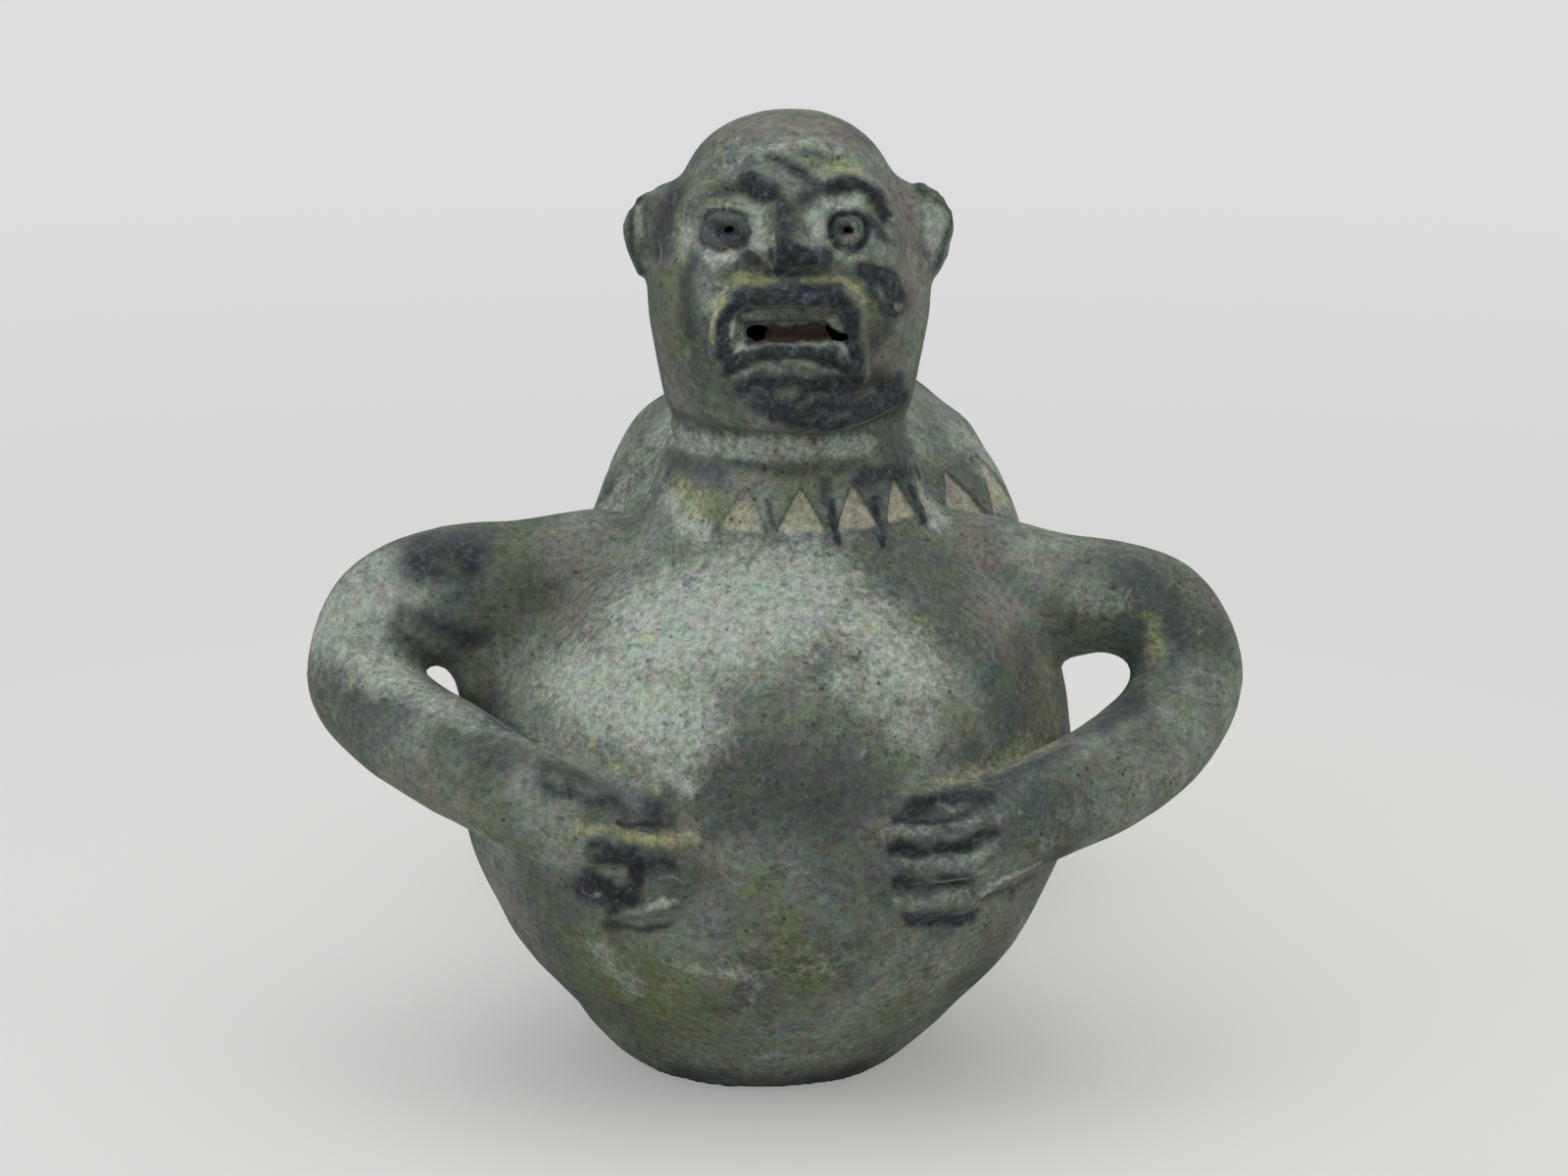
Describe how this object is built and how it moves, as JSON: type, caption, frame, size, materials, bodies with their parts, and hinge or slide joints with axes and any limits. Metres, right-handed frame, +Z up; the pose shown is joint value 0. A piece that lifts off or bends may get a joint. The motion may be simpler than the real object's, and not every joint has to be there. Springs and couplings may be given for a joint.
{
  "type": "double-chambered effigy vase",
  "caption": "Two joined earthenware chambers: the front one is a figure with a neck, an open-mouthed head and looped arms, the rear one carries a spout and a strap handle.",
  "frame": {"origin": "on the ground under the middle of the whole vessel", "axes": "+Z up, the figure faces -Y, +X to the viewer's right"},
  "size_m": [0.22, 0.2794, 0.226],
  "materials": {
    "green_clay": "burnished earthenware, smoke-stained grey-green, matt with a dull sheen",
    "smoked_clay": "rubbed, reduction-darkened earthenware on raised features",
    "pale_clay": "pale ochre-grey earthenware in recesses, unburnished",
    "finger_clay": "earthenware rolls, rubbed pale on top and dark between"
  },
  "bodies": {
    "root": {"front_chamber": "green_clay", "neck_collar": "pale_clay", "head": "green_clay", "nose": "smoked_clay", "upper_lip": "smoked_clay", "lower_lip": "smoked_clay", "left_ear": "green_clay", "left_eye": "pale_clay", "left_brow": "smoked_clay", "left_arm": "green_clay", "left_hand": "green_clay", "left_finger_1": "finger_clay", "left_finger_2": "finger_clay", "left_finger_3": "finger_clay", "left_finger_4": "finger_clay", "right_ear": "green_clay", "right_eye": "pale_clay", "right_brow": "smoked_clay", "right_arm": "green_clay", "right_hand": "green_clay", "right_finger_1": "finger_clay", "right_finger_2": "finger_clay", "right_finger_3": "finger_clay", "right_finger_4": "finger_clay", "connecting_tube": "green_clay", "rear_chamber": "green_clay", "rear_neck": "green_clay", "rear_spout": "green_clay", "strap_handle": "green_clay"}
  },
  "joints": []
}
